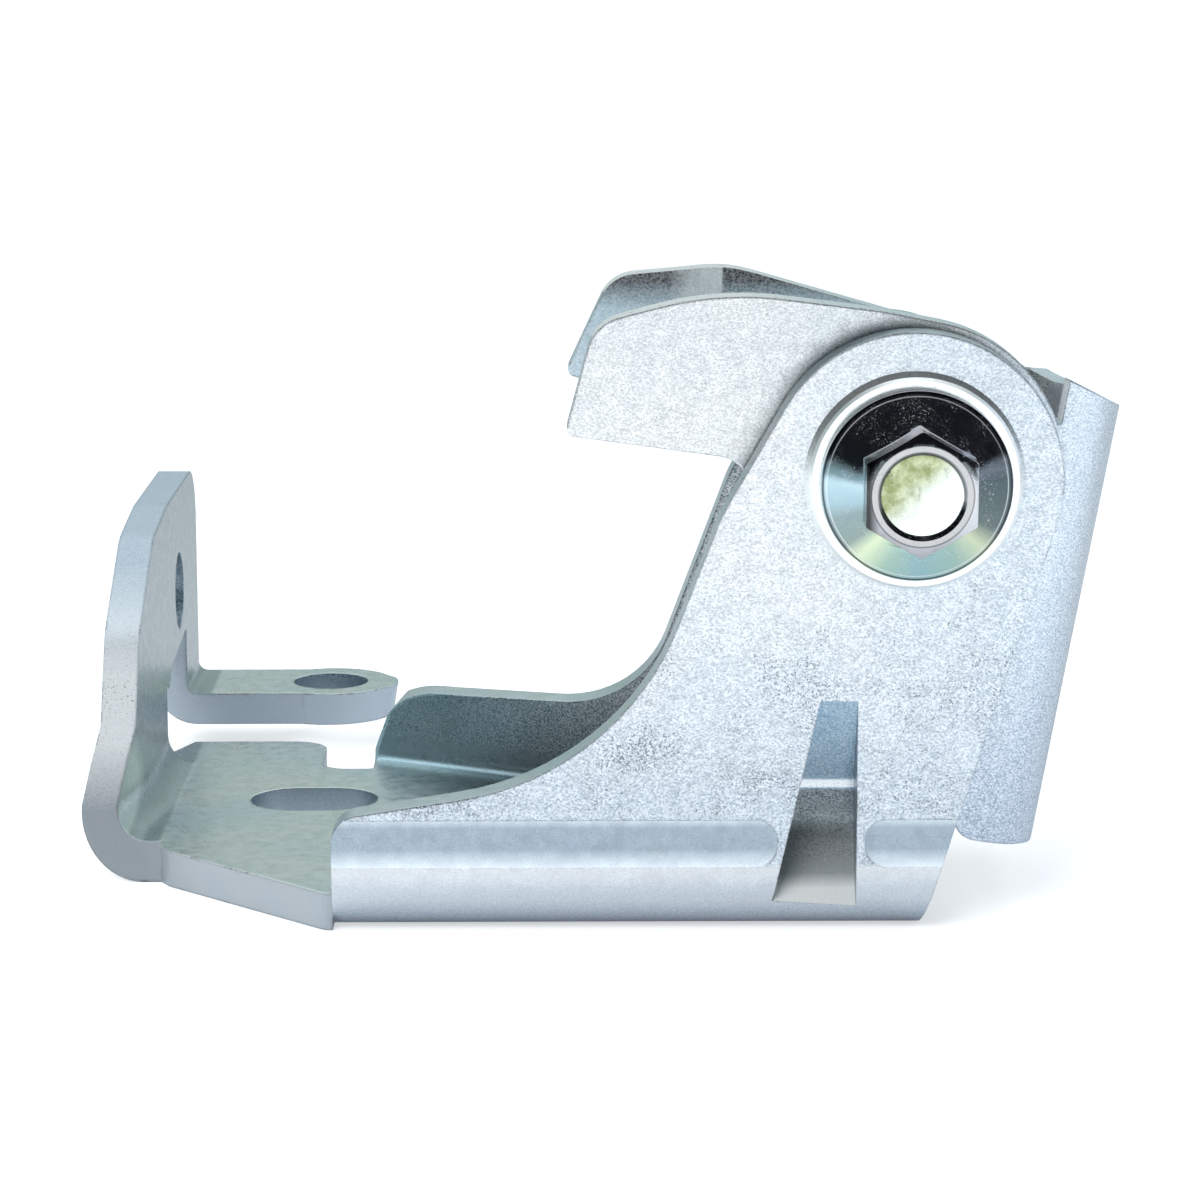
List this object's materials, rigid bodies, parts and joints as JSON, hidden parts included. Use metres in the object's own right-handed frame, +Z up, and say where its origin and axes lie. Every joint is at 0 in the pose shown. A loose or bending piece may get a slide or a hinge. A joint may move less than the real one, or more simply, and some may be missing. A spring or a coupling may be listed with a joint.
{
  "type": "car door hinge",
  "caption": "Stamped steel car door hinge: a bracket that bolts to the body, and a channel arm for the door that swings on a bushed pivot bolt.",
  "frame": {"origin": "on the underside of the base floor, on the mid-plane between the two pivot ears, 37.5 mm left of the pivot", "axes": "+X along the base from the upright plate to the pivot, +Y along the pivot bolt from its head to its nut, +Z up from the mounting face"},
  "size_m": [0.1298, 0.1263, 0.0768],
  "materials": {
    "zinc_base": "satin clear zinc plate",
    "zinc_arm": "satin clear zinc plate",
    "zinc_bolt": "bright iridescent zinc plate",
    "zinc_ring": "bright zinc plate",
    "ground_steel": "ground",
    "bronze": "sintered bronze"
  },
  "bodies": {
    "base": {"base_bracket": "zinc_base", "seat_ring": "zinc_ring", "pivot_bolt": "zinc_bolt", "pivot_sleeve": "ground_steel", "far_washer": "zinc_ring", "lock_nut": "zinc_bolt"},
    "arm": {"swing_arm": "zinc_arm", "near_bush": "bronze", "far_bush": "bronze"}
  },
  "joints": [
    {"name": "door_swing", "type": "hinge", "parent": "base", "child": "arm", "pos_m": [0.0375, 0, 0.0553], "axis": [0, -1, 0], "range_deg": [-8, 66]}
  ]
}
